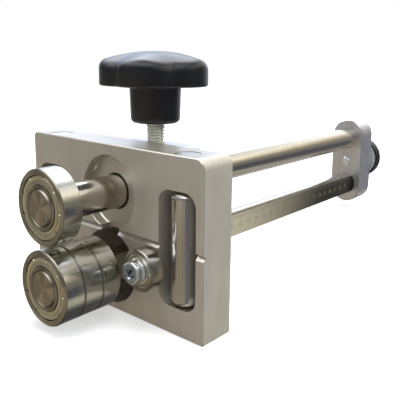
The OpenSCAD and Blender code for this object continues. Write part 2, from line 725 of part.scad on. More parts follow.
module buffer_disc() color([0.78, 0.79, 0.8]) translate([0, rod_back_y + nut_t, pinch_h])
    turned_y([[buffer_stud_d / 2, 0], [disc_d / 2, 0], [disc_d / 2, disc_t],
        [buffer_stud_d / 2, disc_t]]);

module rear_buffer() color([0.06, 0.06, 0.06]) translate([0, rod_back_y + nut_t, pinch_h])
    turned_y(concat([[0, disc_t], [disc_d / 2, disc_t], [disc_d / 2, 0],
        [buffer_d / 2 - edge_c, 0], [buffer_d / 2, edge_c]],
        arc([buffer_d / 2 - buffer_r, buffer_t - buffer_r], buffer_r, 0, 90, steps),
        [[0, buffer_t]]));

fence_block();
guide_block();
guide_block_screws();
upper_rod_bush();
lower_rod_bush();
right_roller();
left_roller();
right_roller_axle();
left_roller_axle();
right_axle_cap();
left_axle_cap();
guide_screw();
guide_spring_washer();
guide_washer();
guide_spacer();
guide_bearing_inner();
guide_bearing_outer();
guide_bearing_shields();
guide_bearing_balls();
guide_bearing_cage();
clamp_pad();
clamp_stud();
star_knob();
upper_rod();
lower_rod();
rear_plate();
rod_grub_screws();
bearing_shims();
buffer_stud();
buffer_nut();
buffer_disc();
rear_buffer();
upper_bearing_inner();
upper_bearing_outer();
upper_bearing_shields();
upper_bearing_balls();
upper_bearing_cage();
front_bearing_inner();
front_bearing_outer();
front_bearing_shields();
front_bearing_balls();
front_bearing_cage();
middle_bearing_inner();
middle_bearing_outer();
middle_bearing_shields();
middle_bearing_balls();
middle_bearing_cage();
rear_bearing_inner();
rear_bearing_outer();
rear_bearing_shields();
rear_bearing_balls();
rear_bearing_cage();
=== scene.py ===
"""Dresses the sheet metal edge bender: finishes for the CAD pieces, and the small forms they leave out."""

import math

import bmesh
import bpy
from mathutils import Matrix, Vector


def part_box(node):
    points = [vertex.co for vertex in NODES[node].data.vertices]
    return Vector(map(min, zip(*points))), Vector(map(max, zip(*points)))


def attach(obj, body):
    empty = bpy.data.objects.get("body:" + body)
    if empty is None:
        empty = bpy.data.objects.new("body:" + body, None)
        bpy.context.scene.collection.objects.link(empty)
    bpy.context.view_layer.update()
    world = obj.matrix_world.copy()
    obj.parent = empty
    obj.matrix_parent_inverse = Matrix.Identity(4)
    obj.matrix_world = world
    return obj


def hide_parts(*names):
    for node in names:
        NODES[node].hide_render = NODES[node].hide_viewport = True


bl_info = {
    "name": "Sheet metal edge bender",
    "version": (1, 0, 0),
    "blender": (4, 5, 0),
    "location": "View3D > Sidebar > Edge bender",
    "description": "Finishes, threads, shields, knob, ruler and studio for a sheet metal edge bender",
    "category": "Object",
}

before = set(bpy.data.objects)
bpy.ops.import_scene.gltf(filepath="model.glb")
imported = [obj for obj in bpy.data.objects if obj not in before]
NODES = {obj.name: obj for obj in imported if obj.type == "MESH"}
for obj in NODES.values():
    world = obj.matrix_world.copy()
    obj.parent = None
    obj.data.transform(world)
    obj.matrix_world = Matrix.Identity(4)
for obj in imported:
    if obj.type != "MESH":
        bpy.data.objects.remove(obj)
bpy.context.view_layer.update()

MM = 0.001

# What the metal mirrors on each side of the studio tent: degrees above the horizon, then the colour,
# in which white is TENT_LIGHT times as bright as paper
TENT_LIGHT = 4.0
TENT_RIGHT = (
    (-90, "#1D1D1D"), (-56, "#272727"), (-50, "#3F3F3F"), (-44, "#5E5C53"), (-31, "#636159"),
    (-25, "#3F3F3F"), (-21, "#2C2D33"), (-6, "#292B30"), (0, "#353535"), (3, "#4B4B4B"),
    (6, "#424242"), (11, "#44423C"), (17, "#5F5A4F"), (24, "#7F7A6E"), (30, "#9D998C"),
    (40, "#989690"), (48, "#8F8F8F"), (53, "#636363"), (60, "#595959"), (90, "#5B5B5B"),
)
TENT_BEHIND = (
    (-90, "#1D1D1D"), (-50, "#2C2C2C"), (-40, "#3F3F3F"), (-28, "#525259"), (-18, "#515159"),
    (-8, "#6C6E73"), (0, "#8F9095"), (12, "#A5A8AE"), (22, "#AAACB3"), (30, "#9A9DA2"),
    (38, "#7C7C7E"), (43, "#898989"), (50, "#EDF3FF"), (72, "#F3F9FF"), (84, "#6C6C6C"),
    (90, "#5B5B5B"),
)
TENT_LEFT = (
    (-90, "#1D1D1D"), (-50, "#2C2C2C"), (-40, "#3F3F3F"), (-28, "#524D48"), (-18, "#5E5950"),
    (-8, "#68686A"), (0, "#7F8186"), (8, "#888C95"), (14, "#8C95A7"), (21, "#8F99AE"),
    (28, "#AAB3C8"), (35, "#F0F9FF"), (72, "#F9FEFF"), (84, "#6C6C6C"), (90, "#5B5B5B"),
)
TENT_FRONT = (
    (-90, "#1D1D1D"), (-56, "#303030"), (-45, "#47423A"), (-34, "#5B564B"), (-26, "#554F45"),
    (-20, "#4D473E"), (-13, "#5B564C"), (-6, "#55504B"), (0, "#484747"), (8, "#3F3F3F"),
    (20, "#424242"), (30, "#595959"), (38, "#9A9DA5"), (46, "#C0C4CB"), (60, "#C0C4CB"),
    (72, "#898989"), (90, "#636363"),
)
TENT_CAMERA = (
    (-90, "#1D1D1D"), (-50, "#2C2C2C"), (-35, "#3C3C3C"), (-20, "#363638"), (-8, "#303030"),
    (5, "#303030"), (20, "#363636"), (38, "#535353"), (46, "#898C92"), (60, "#898C92"),
    (75, "#636363"), (90, "#5B5B5B"),
)


def linear(code):
    """Linear colour, with alpha, of an sRGB hex value such as #A89B75."""
    parts = [int(code[i : i + 2], 16) / 255 for i in (1, 3, 5)]
    return tuple(c / 12.92 if c <= 0.04045 else ((c + 0.055) / 1.055) ** 2.4 for c in parts) + (1.0,)


def tint(colour, factor):
    """The same colour, lighter or darker, as a node socket wants it."""
    return tuple(min(c * factor, 1.0) for c in tuple(colour)[:3]) + (1.0,)


def node_middle(node):
    """Middle of a CAD node's box."""
    low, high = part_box(node)
    return (low + high) / 2


def node_radius(node):
    """Half the width of a CAD node's box."""
    low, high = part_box(node)
    return (high.x - low.x) / 2


# Node trees and meshes


def bare_tree(owner):
    """The node tree of a material or a world, emptied."""
    owner.use_nodes = True
    owner.node_tree.nodes.clear()
    return owner.node_tree


def add(tree, kind, sockets=None, to=None, out=0, **settings):
    """Adds one node, sets its properties, fills or links its sockets, and links its output."""
    made = tree.nodes.new(kind)
    for key, value in settings.items():
        setattr(made, key, value)
    for key, value in (sockets or {}).items():
        if isinstance(value, bpy.types.NodeSocket):
            tree.links.new(value, made.inputs[key])
        else:
            made.inputs[key].default_value = value
    if to is not None:
        tree.links.new(made.outputs[out], to)
    return made


def new_finish(name, colour, metallic, roughness, **sockets):
    """A material with its shader: gives it, its tree, the shader and the piece's own coordinates."""
    made = bpy.data.materials.new(name)
    tree = bare_tree(made)
    shader = add(
        tree,
        "ShaderNodeBsdfPrincipled",
        {"Base Color": tint(colour, 1), "Metallic": metallic, "Roughness": roughness, **sockets},
    )
    add(tree, "ShaderNodeOutputMaterial", {"Surface": shader.outputs["BSDF"]})
    place = add(tree, "ShaderNodeTexCoord").outputs["Object"]
    return made, tree, shader, place


def mottle(tree, shader, place, colour, size, spread, stretch=(1.0, 1.0, 1.0)):
    """Cloudy patches of the given size that make the colour a little lighter and darker."""
    squeezed = add(tree, "ShaderNodeVectorMath", {0: place, 1: stretch}, operation="MULTIPLY")
    patches = add(
        tree,
        "ShaderNodeTexNoise",
        {"Vector": squeezed.outputs[0], "Scale": 1 / size, "Detail": 4.0, "Roughness": 0.6},
    )
    share = add(tree, "ShaderNodeMapRange", {"Value": patches.outputs[0], "From Min": 0.3, "From Max": 0.7})
    add(
        tree,
        "ShaderNodeMix",
        {0: share.outputs[0], 6: tint(colour, 1 - spread), 7: tint(colour, 1 + spread)},
        to=shader.inputs["Base Color"],
        out=2,
        data_type="RGBA",
    )
    return share.outputs[0]


def relief(tree, shader, height, depth, strength=1.0):
    """Bumps of the given depth in metres."""
    add(
        tree,
        "ShaderNodeBump",
        {"Strength": strength, "Distance": depth, "Height": height},
        to=shader.inputs["Normal"],
    )


def gloss_range(tree, shader, value, low, high):
    """Roughness that follows a pattern between two limits."""
    sheen = add(
        tree,
        "ShaderNodeMapRange",
        {"Value": value, "From Min": 0.25, "From Max": 0.75, "To Min": low, "To Max": high},
        to=shader.inputs["Roughness"],
    )
    return sheen.outputs[0]


def round_axis(tree, place, centre, along="Y"):
    """Distance from an axis, and the place along it, as coordinates that lathe lines can follow."""
    moved = add(tree, "ShaderNodeVectorMath", {0: place, 1: tuple(centre)}, operation="SUBTRACT")
    across = (1.0, 0.0, 1.0) if along == "Y" else (1.0, 1.0, 0.0)
    flat = add(tree, "ShaderNodeVectorMath", {0: moved.outputs[0], 1: across}, operation="MULTIPLY")
    radius = add(tree, "ShaderNodeVectorMath", {0: flat.outputs[0]}, operation="LENGTH")
    parts = add(tree, "ShaderNodeSeparateXYZ", {0: moved.outputs[0]})
    joined = add(tree, "ShaderNodeCombineXYZ", {0: radius.outputs[1], 1: parts.outputs[along]})
    return joined.outputs[0], radius.outputs[1], parts


def straight_rays(tree):
    """One for rays from the camera, off a mirror or through glass, and zero for scattered light."""
    rays = add(tree, "ShaderNodeLightPath").outputs
    share = rays["Is Camera Ray"]
    for kind in ("Is Glossy Ray", "Is Transmission Ray"):
        share = add(tree, "ShaderNodeMath", {0: share, 1: rays[kind]}, operation="MAXIMUM").outputs[0]
    return share


def dress(material, *names):
    """Gives CAD nodes a finish."""
    for name in names:
        slots = NODES[name].material_slots
        if not slots:
            NODES[name].data.materials.append(material)
        for slot in slots:
            slot.material = material


def new_object(name, bm, material=None):
    """Turns a bmesh into an object of the scene."""
    mesh = bpy.data.meshes.new(name)
    bm.to_mesh(mesh)
    bm.free()
    if material:
        mesh.materials.append(material)
    made = bpy.data.objects.new(name, mesh)
    bpy.context.scene.collection.objects.link(made)
    return made


def new_piece(name, bm, body, material, replaces=(), angle=35.0):
    """Turns a bmesh in the row frame into a smooth shaded piece that rides on a body."""
    bmesh.ops.recalc_face_normals(bm, faces=bm.faces[:])
    made = new_object(name, bm, material)
    made.data.shade_smooth()
    made.data.set_sharp_from_angle(angle=math.radians(angle))
    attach(made, body)
    if replaces:
        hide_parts(*replaces)
    return made


def arc(middle, radius, first, last, steps):
    """Points of a profile on an arc, from one angle in degrees to another."""
    angles = [math.radians(first + (last - first) * i / steps) for i in range(steps + 1)]
    return [(middle[0] + radius * math.cos(a), middle[1] + radius * math.sin(a)) for a in angles]


def turn_profile(bm, profile, centre, along="Y", segments=96, change=None):
    """Adds a closed turned surface: the profile is radius and distance along the axis, in metres.

    A change function takes the point's number, its angle, its radius and its distance, and moves it.
    """
    rings = []
    for i in range(segments):
        angle = math.tau * i / segments
        ring = []
        for j, (r, t) in enumerate(profile):
            if change:
                r, t = change(j, angle, r, t)
            if along == "Y":
                spot = Vector((r * math.cos(angle), t, r * math.sin(angle)))
            else:
                spot = Vector((r * math.cos(angle), r * math.sin(angle), t))
            ring.append(bm.verts.new(spot + Vector(centre)))
        rings.append(ring)
    count = len(profile)
    for i in range(segments):
        for j in range(count):
            a, b = rings[i], rings[(i + 1) % segments]
            k = (j + 1) % count
            if profile[j][0] == 0 and profile[k][0] == 0:
                continue
            bm.faces.new((a[j], a[k], b[k], b[j]))
    bmesh.ops.remove_doubles(bm, verts=bm.verts[:], dist=1e-7)


# Finishes


def blasted_aluminium(name, colour, grit=0.9, rough=0.5, polish=0.74, worn=0.6):
    """Bead-blasted, clear anodised aluminium: a satin sheen with faint clouds, and cut edges that shine."""
    made, tree, shader, place = new_finish(name, colour, polish, rough)
    # The mill's upright marks stay faintly visible under the blasting
    mottle(tree, shader, place, colour, 18 * MM, 0.075, (1.5, 1.5, 0.45))
    # The beads leave dimples of about a fifth of a millimetre, drawn coarser so that they show
    grain = add(tree, "ShaderNodeTexNoise", {"Vector": place, "Scale": 1 / (grit * MM), "Detail": 3.0})
    relief(tree, shader, grain.outputs[0], 0.012 * MM, 0.7)
    # Handling leaves patches that shine a little more
    smudge = add(
        tree,
        "ShaderNodeTexNoise",
        {"Vector": place, "Scale": 1 / (34 * MM), "Detail": 5.0, "Distortion": 0.8},
    )
    sheen = gloss_range(tree, shader, smudge.outputs[0], rough - 0.08, rough + 0.06)
    normal = add(tree, "ShaderNodeNewGeometry").outputs["True Normal"]
    facing = add(tree, "ShaderNodeSeparateXYZ", {0: normal})
    # Seen along the top, which hands have worn smoother, the satin turns into a soft mirror
    top = add(tree, "ShaderNodeMath", {0: facing.outputs[2], 1: 0.9}, operation="GREATER_THAN")
    hands = add(tree, "ShaderNodeMix", {0: top.outputs[0], 2: sheen, 3: rough * worn})
    # Slanting faces are the edge breaks and the V groove, cut bright after the blasting
    depth = add(tree, "ShaderNodeMath", {0: facing.outputs[1]}, operation="ABSOLUTE")
    slant = add(
        tree,
        "ShaderNodeMath",
        {0: depth.outputs[0], 1: 0.64, 2: 0.25},
        operation="COMPARE",
    )
    add(
        tree,
        "ShaderNodeMix",
        {0: slant.outputs[0], 2: hands.outputs[0], 3: 0.2},
        to=shader.inputs["Roughness"],
    )
    return made


def ground_steel(name, colour, centre, along="Y", rough=0.12, line=0.45, depth=0.0016):
    """Ground and polished steel: a mirror that fine lines round the axis break up, with dull turned ends in
    painted shade and painted highlight fans.
    """
    made, tree, shader, place = new_finish(name, colour, 1.0, rough)
    turned, _, parts = round_axis(tree, place, centre, along)
    lines = add(tree, "ShaderNodeTexNoise", {"Vector": turned, "Scale": 1 / (line * MM), "Detail": 2.0})
    normal = add(tree, "ShaderNodeNewGeometry").outputs["True Normal"]
    facing = add(tree, "ShaderNodeSeparateXYZ", {0: normal})
    ahead = add(tree, "ShaderNodeMath", {0: facing.outputs[along]}, operation="ABSOLUTE")
    end = add(tree, "ShaderNodeMath", {0: ahead.outputs[0], 1: 0.5}, operation="GREATER_THAN").outputs[0]
    # The ends keep the lathe's rings, four times as deep as the grinding lines
    rings = add(tree, "ShaderNodeMapRange", {"Value": end, "To Min": 1.0, "To Max": 4.0})
    cut = add(tree, "ShaderNodeMath", {0: lines.outputs[0], 1: rings.outputs[0]}, operation="MULTIPLY")
    relief(tree, shader, cut.outputs[0], depth * MM, 0.6)
    sheen = gloss_range(tree, shader, lines.outputs[0], rough - 0.03, rough + 0.05)
    add(
        tree,
        "ShaderNodeMix",
        {0: end, 2: sheen, 3: rough + 0.12},
        to=shader.inputs["Roughness"],
    )
    mottle(tree, shader, place, colour, 9 * MM, 0.04)
    flat = shader.inputs["Base Color"].links[0].from_socket
    # Ends are painted browner and darker than the ground round as painted shade, and their rings get painted
    # highlights in fans
    spoke = add(tree, "ShaderNodeCombineXYZ", {0: parts.outputs[0]})
    across = 2 if along == "Y" else 1
    tree.links.new(parts.outputs[across], spoke.inputs[across])
    way = add(tree, "ShaderNodeVectorMath", {0: spoke.outputs[0]}, operation="NORMALIZE")
    fans = add(tree, "ShaderNodeTexNoise", {"Vector": way.outputs[0], "Scale": 1.5, "Detail": 4.0})
    painted_fan_highlight = add(
        tree,
        "ShaderNodeMapRange",
        {"Value": fans.outputs[0], "From Min": 0.34, "From Max": 0.66, "To Min": 0.42, "To Max": 0.86},
    )
    painted_end_shade = tuple(c * f for c, f in zip(tuple(colour), (1.0, 0.95, 0.86)))
    shade = add(
        tree,
        "ShaderNodeVectorMath",
        {0: painted_end_shade, "Scale": painted_fan_highlight.outputs[0]},
        operation="SCALE",
    )
    # The end faces take this painted shade and the painted highlight fans as their colour
    add(
        tree,
        "ShaderNodeMix",
        {0: end, 6: flat, 7: shade.outputs[0]},
        to=shader.inputs["Base Color"],
        out=2,
        data_type="RGBA",
    )
    return made


def shield_steel(name, colour, centre, plane):
    """Pressed shield with a thin straw coloured film: satin, with press lines, and painted shade where it
    dips.
    """
    made, tree, shader, place = new_finish(name, colour, 1.0, 0.26)
    turned, _, parts = round_axis(tree, place, centre)
    lines = add(tree, "ShaderNodeTexNoise", {"Vector": turned, "Scale": 1 / (0.7 * MM), "Detail": 2.0})
    relief(tree, shader, lines.outputs[0], 0.004 * MM, 0.6)
    mottle(tree, shader, place, colour, 6 * MM, 0.08)
    flat = shader.inputs["Base Color"].links[0].from_socket
    # Painted shade: where the shield dips in towards the bearing's middle, its colour goes near black
    out = add(tree, "ShaderNodeMath", {0: parts.outputs[1]}, operation="ABSOLUTE")
    clear_of_painted_shade = add(
        tree,
        "ShaderNodeMapRange",
        {"Value": out.outputs[0], "From Min": plane - 0.3 * MM, "From Max": plane - 0.12 * MM},
    )
    add(
        tree,
        "ShaderNodeMix",
        {0: clear_of_painted_shade.outputs[0], 6: tint(colour, 0.1), 7: flat},
        to=shader.inputs["Base Color"],
        out=2,
        data_type="RGBA",
    )
    return made


def zinc_plate(name, colour, rough=0.22, polish=0.8, sunk=None):
    """Bright zinc plated steel: a bluish, slightly cloudy sparkle."""
    made, tree, shader, place = new_finish(name, colour, polish, rough)
    share = mottle(tree, shader, place, colour, 3 * MM, 0.05)
    gloss_range(tree, shader, share, rough - 0.05, rough + 0.06)
    fine = add(tree, "ShaderNodeTexNoise", {"Vector": place, "Scale": 1 / (0.6 * MM), "Detail": 2.0})
    relief(tree, shader, fine.outputs[0], 0.002 * MM, 0.3)
    if sunk:
        # Painted shade: the cross recess is painted dull and deep grey towards its floor
        centre, radius_limit, depth_limit = sunk
        _, radius, parts = round_axis(tree, place, centre)
        inside = add(tree, "ShaderNodeMath", {0: radius, 1: radius_limit}, operation="LESS_THAN")
        deep = add(
            tree,
            "ShaderNodeMapRange",
            {"Value": parts.outputs[1], "From Min": 0.1 * MM, "From Max": depth_limit, "To Max": 0.6},
        )
        recess_painted_shade = add(tree, "ShaderNodeMath", {0: inside.outputs[0], 1: deep.outputs[0]}, operation="MULTIPLY")
        flat = shader.inputs["Base Color"].links[0].from_socket
        add(
            tree,
            "ShaderNodeMix",
            {0: recess_painted_shade.outputs[0], 6: flat, 7: tint(colour, 0.06)},
            to=shader.inputs["Base Color"],
            out=2,
            data_type="RGBA",
        )
    return made


def turned_steel(name, colour, rough=0.3):
    """Plain turned steel: grey and satin, with fine lines."""
    made, tree, shader, place = new_finish(name, colour, 1.0, rough)
    mottle(tree, shader, place, colour, 3 * MM, 0.07)
    lines = add(tree, "ShaderNodeTexNoise", {"Vector": place, "Scale": 1 / (0.5 * MM), "Detail": 2.0})
    relief(tree, shader, lines.outputs[0], 0.006 * MM, 0.5)
    return made


def black_oxide(name, colour):
    """Black oxide on alloy steel: near black with a faint oily sheen."""
    made, tree, shader, place = new_finish(name, colour, 0.6, 0.38)
    mottle(tree, shader, place, colour, 1.6 * MM, 0.2)
    fine = add(tree, "ShaderNodeTexNoise", {"Vector": place, "Scale": 1 / (0.5 * MM), "Detail": 2.0})
    relief(tree, shader, fine.outputs[0], 0.01 * MM, 0.6)
    return made


def moulded_phenolic(name, colour, rough=0.3):
    """Moulded black thermoset with a fine spark texture: deep black, with a glow where light grazes it."""
    made, tree, shader, place = new_finish(name, colour, 0.0, rough, IOR=1.6)
    # The mould's texture is about a tenth of a millimetre wide, drawn coarser so that it shows
    skin = add(tree, "ShaderNodeTexNoise", {"Vector": place, "Scale": 1 / (0.8 * MM), "Detail": 2.0})
    relief(tree, shader, skin.outputs[0], 0.02 * MM, 0.4)
    mottle(tree, shader, place, colour, 14 * MM, 0.15)
    haze = add(tree, "ShaderNodeTexNoise", {"Vector": place, "Scale": 1 / (11 * MM), "Detail": 4.0})
    gloss_range(tree, shader, haze.outputs[0], rough - 0.05, rough + 0.08)
    return made


def moulded_rubber(name, colour, rough=0.32):
    """Smooth moulded rubber: black, with a broad soft shine and a faint bloom."""
    made, tree, shader, place = new_finish(name, colour, 0.0, rough, IOR=1.52)
    mottle(tree, shader, place, colour, 4 * MM, 0.35)
    skin = add(tree, "ShaderNodeTexNoise", {"Vector": place, "Scale": 1 / (1.2 * MM), "Detail": 3.0})
    relief(tree, shader, skin.outputs[0], 0.02 * MM, 0.5)
    return made


def marking_ink(name, colour):
    """Etched and inked ruler marks: flat dark grey, thin in places."""
    made, tree, shader, place = new_finish(name, colour, 0.0, 0.6)
    mottle(tree, shader, place, colour, 0.8 * MM, 0.5)
    return made


# Sizes and colours that a user would change


def length_property(name, description, millimetres):
    """A length that a user can change."""
    return bpy.props.FloatProperty(
        name=name, description=description, default=millimetres * MM, unit="LENGTH"
    )


def count_property(name, description, count):
    """A number of equal forms that a user can change."""
    return bpy.props.IntProperty(name=name, description=description, default=count, min=1)


def colour_property(name, description, code):
    """A colour that a user can change."""
    return bpy.props.FloatVectorProperty(
        name=name,
        description=description,
        default=linear(code)[:3],
        size=3,
        min=0.0,
        max=1.0,
        subtype="COLOR",
    )


class BenderSizes(bpy.types.PropertyGroup):
    """Sizes of the small forms; all the others come from the frame"""

    cap_depth: length_property("Cap depth", "From the block's top down to an axle's cap", 0.3)
    ruler_zero: length_property("Ruler zero", "Place along the rod at which the ruler reads zero", -8.5)
    numeral_height: length_property("Numeral height", "Height of the ruler's numerals", 3.6)
    shield_crimps: count_property("Shield crimps", "Notches round the shield of a large bearing", 9)
    guide_crimps: count_property("Guide crimps", "Notches round the shield of the guide bearing", 6)
    crimp_depth: length_property("Crimp depth", "Depth of a notch in a shield's rim", 0.45)
    cross_depth: length_property("Cross depth", "Depth of the cross recess in the guide screw", 2.2)
    stud_pitch: length_property("Stud pitch", "Thread pitch of the clamp stud", 1.75)
    stud_neck: length_property("Stud neck", "Plain length of the stud under the knob", 2.2)
    knob_lobes: count_property("Knob lobes", "Lobes round the star knob", 5)
    knob_reach: length_property("Knob reach", "From the knob's axis to the tip of a lobe", 34.25)
    knob_lobe: length_property("Knob lobe", "Radius of a lobe, seen from above", 20.2)
    knob_valley: length_property("Knob valley", "Radius of a valley, seen from above", 4.5)
    knob_sink: length_property("Knob sink", "How far a valley falls away below the dome", 3.2)
    knob_dome: length_property("Knob dome", "Radius of the domed top", 100.0)
    knob_shoulder: length_property("Knob shoulder", "Rounding between the knob's top and side", 6.0)
    knob_head: length_property("Knob head", "Height of the knob's head", 20.9)
    knob_hub: length_property("Knob hub", "Height of the hub under the head", 22.9)


class BenderColours(bpy.types.PropertyGroup):
    """Colours of the finishes"""

    block: colour_property("Block", "Bead-blasted aluminium of the fence block", "#C9C2B5")
    guide: colour_property("Guide block", "Bead-blasted aluminium of the guide block", "#D2D0CB")
    cap: colour_property("Axle caps", "Turned aluminium of the caps over the axles", "#DDDDD0")
    screw: colour_property("Screws", "Black oxide of the socket screws", "#232427")
    bush: colour_property("Bushes", "Sintered bronze of the rod bushes", "#A98452")
    roller: colour_property("Rollers", "Ground steel of the fence rollers", "#D6D3CE")
    axle: colour_property("Axles", "Turned steel of the roller axles", "#A9A9AC")
    rod: colour_property("Rods", "Hard chromed steel of the rods", "#DAD4C8")
    ruler: colour_property("Ruler flat", "Satin flat that carries the ruler", "#AFA68F")
    ink: colour_property("Ruler ink", "Ink in the ruler's marks", "#5E5848")
    plate: colour_property("Rear plate", "Aluminium of the rear plate", "#DFDEE0")
    ring: colour_property("Bearing rings", "Ground bearing steel", "#D2D1C8")
    ball: colour_property("Balls", "Polished steel of the balls", "#E0E0E4")
    cage: colour_property("Cages", "Pressed steel of the ball cages", "#B9B4A6")
    shield: colour_property("Shields", "Straw coloured bearing shields", "#E2DCC4")
    shim: colour_property("Shims", "Turned steel of the shims and the spacer", "#8E8E90")
    zinc: colour_property("Zinc", "Bright zinc plate", "#E3E9EC")
    pad: colour_property("Clamp pad", "Turned brass of the clamp's pad", "#C9A24E")
    stud: colour_property("Clamp stud", "Bright zinc plate of the stud", "#F2F3EC")
    knob: colour_property("Knob", "Moulded star knob", "#0B0C0F")
    buffer: colour_property("Buffer", "Moulded rubber buffer", "#0F0F10")


# Pieces


class BENDER_OT_blocks(bpy.types.Operator):
    """Finishes the fence block, the guide block and what is pressed into them"""

    bl_idname = "bender.blocks"
    bl_label = "Fence and guide blocks"

    def execute(self, context):
        sizes = context.scene.bender_sizes
        colours = context.scene.bender_colours
        dress(blasted_aluminium("bead_blasted_aluminium_fence", colours.block), "fence_block")
        dress(blasted_aluminium("bead_blasted_aluminium_guide", colours.guide), "guide_block")
        caps = turned_steel("turned_aluminium_caps", colours.cap, 0.3)
        for side in ("right", "left"):
            self.cap(sizes, side, caps)
        dress(black_oxide("black_oxide_screws", colours.screw), "guide_block_screws", "rod_grub_screws")
        # Sintered bronze is brown and matt
        bronze = turned_steel("sintered_bronze_bushes", colours.bush, 0.42)
        dress(bronze, "upper_rod_bush", "lower_rod_bush")
        return {"FINISHED"}

    def cap(self, sizes, side, material):
        """A turned disc over the axle, with a broken edge, just below the top of the block."""
        name = side + "_axle_cap"
        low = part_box(name)[0]
        middle = node_middle(name)
        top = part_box("fence_block")[1].z - sizes.cap_depth
        r = node_radius(name)
        bevel = 0.35 * MM
        profile = [(0, low.z), (r, low.z), (r, top - bevel), (r - bevel, top), (0, top)]
        bm = bmesh.new()
        turn_profile(bm, profile, (middle.x, middle.y, 0), "Z", 64)
        new_piece("turned_" + name, bm, "fence", material, [name])


class BENDER_OT_rollers(bpy.types.Operator):
    """Finishes the two fence rollers and their axles"""

    bl_idname = "bender.rollers"
    bl_label = "Fence rollers"

    def execute(self, context):
        colours = context.scene.bender_colours
        for side in ("right", "left"):
            node = side + "_roller"
            steel = ground_steel("ground_steel_" + node, colours.roller, node_middle(node), "Z", 0.13)
            dress(steel, node)
        axles = turned_steel("turned_steel_axles", colours.axle)
        dress(axles, "right_roller_axle", "left_roller_axle")
        return {"FINISHED"}


